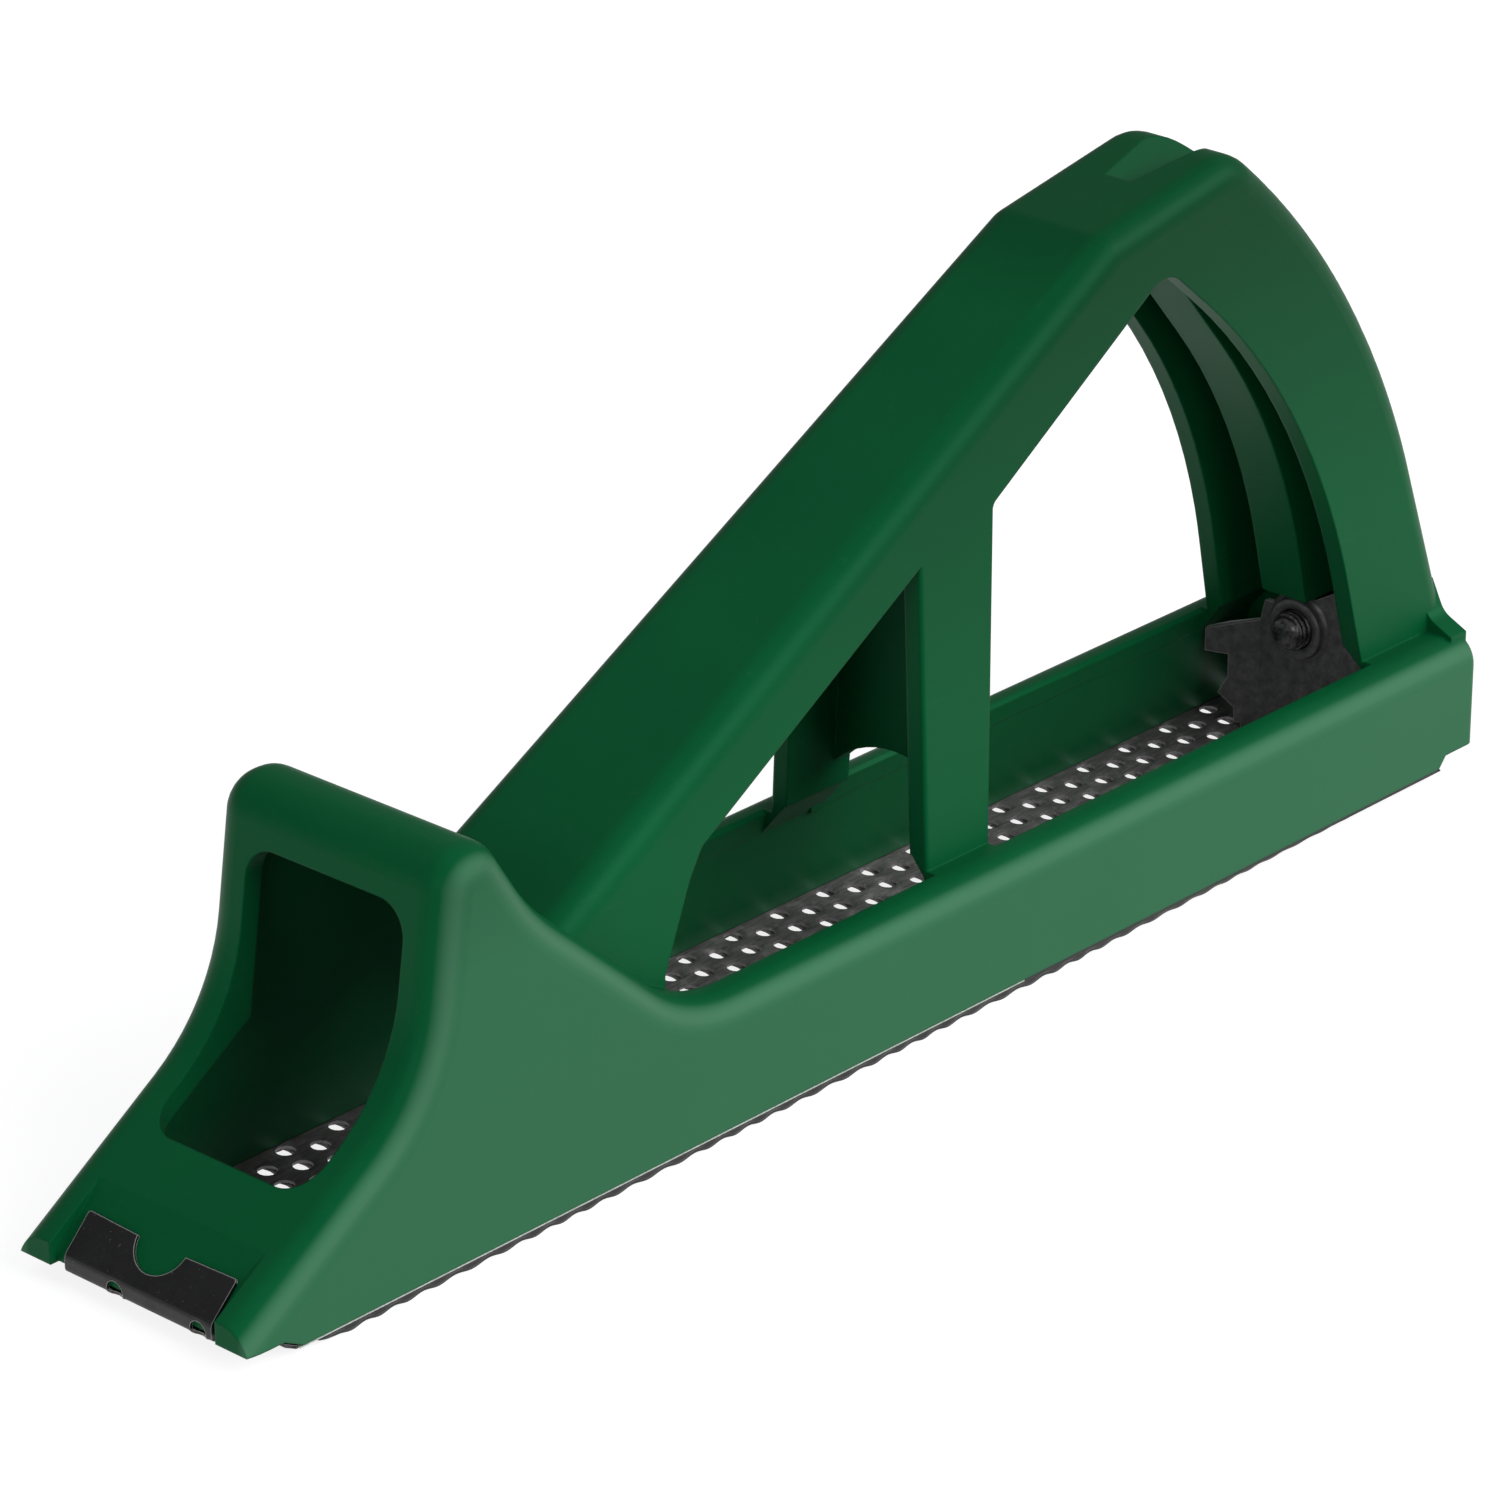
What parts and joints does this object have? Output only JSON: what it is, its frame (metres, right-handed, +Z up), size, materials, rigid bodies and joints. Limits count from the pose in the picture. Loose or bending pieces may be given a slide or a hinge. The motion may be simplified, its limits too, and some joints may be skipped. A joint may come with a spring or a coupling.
{
  "type": "plaster plane",
  "caption": "Hand plane for plaster board edges: ramped toe, hollow knob, open trough between rails, triangular bow handle, grater blade held by a clip and a screw",
  "frame": {"origin": "middle of the footprint, at the level of the tips of the blade's teeth", "axes": "+X from the toe to the heel, +Y to the left of someone pushing the plane away from its heel, +Z up"},
  "size_m": [0.25, 0.042, 0.104],
  "materials": {
    "moulded_green": "satin moulded plastic, dark green",
    "blackened_steel": "blackened sheet steel with bare cut edges"
  },
  "bodies": {
    "frame": {"body": "moulded_green"},
    "screw": {"tension_screw": "blackened_steel"},
    "clip": {"tension_clip": "blackened_steel"},
    "cutter": {"blade": "blackened_steel"}
  },
  "joints": [
    {"name": "blade_slide", "type": "slide", "parent": "frame", "child": "cutter", "axis": [-1, 0, 0], "range_m": [0, 0.004]},
    {"name": "clip_slide", "type": "slide", "parent": "frame", "child": "clip", "axis": [-1, 0, 0], "range_m": [0, 0.004]},
    {"name": "screw_turn", "type": "hinge", "parent": "frame", "child": "screw", "pos_m": [0.115, 0, 0.02065], "axis": [1, 0, 0], "range_deg": [0, 1440]}
  ],
  "couplings": [
    {"joint": "clip_slide", "follows": "blade_slide", "ratio": 1},
    {"joint": "screw_turn", "follows": "blade_slide", "rad_per_m": 6283.2}
  ]
}
